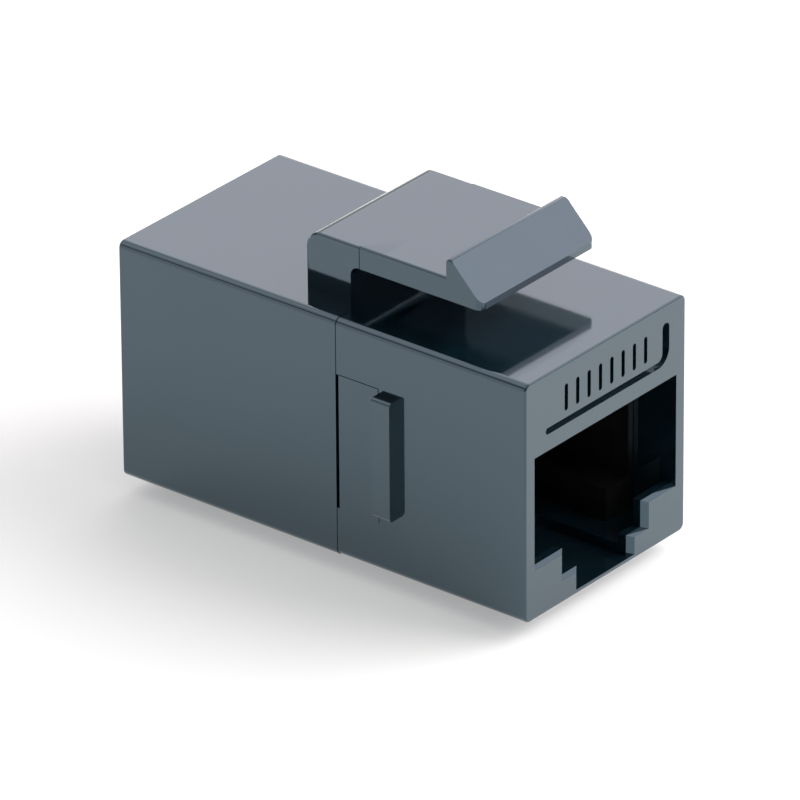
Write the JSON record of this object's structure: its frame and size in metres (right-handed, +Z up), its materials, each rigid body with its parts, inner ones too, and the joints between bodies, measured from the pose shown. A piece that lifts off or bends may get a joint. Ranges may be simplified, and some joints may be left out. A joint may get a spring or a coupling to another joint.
{
  "type": "keystone jack",
  "caption": "Feed-through keystone jack: a square dark plastic body with a modular socket at each end and a spring latch on top.",
  "frame": {"origin": "below the middle of the body, level with the lowest point of the fixed hook", "axes": "+Z up towards the latch, -Y out of the front socket, +Y out of the rear socket, +X to the right seen from the front"},
  "size_m": [0.0158, 0.0288, 0.0207],
  "materials": {
    "housing": "semi-gloss slate grey moulding",
    "carrier": "matte black moulding",
    "board": "green solder mask",
    "contact": "gold-plated spring wire"
  },
  "bodies": {
    "housing": {"front_housing": "housing", "rear_housing": "housing", "front_carrier": "carrier", "rear_carrier": "carrier", "circuit_board": "board", "front_contact_1": "contact", "front_contact_2": "contact", "front_contact_3": "contact", "front_contact_4": "contact", "front_contact_5": "contact", "front_contact_6": "contact", "front_contact_7": "contact", "front_contact_8": "contact", "rear_contact_1": "contact", "rear_contact_2": "contact", "rear_contact_3": "contact", "rear_contact_4": "contact", "rear_contact_5": "contact", "rear_contact_6": "contact", "rear_contact_7": "contact", "rear_contact_8": "contact"},
    "latch": {"latch_arm": "housing"}
  },
  "joints": [
    {"name": "latch_press", "type": "hinge", "parent": "housing", "child": "latch", "pos_m": [0, -0.00115, 0.01815], "axis": [1, 0, 0], "range_deg": [0, 14], "stiffness_Nm_per_rad": 0.35}
  ]
}
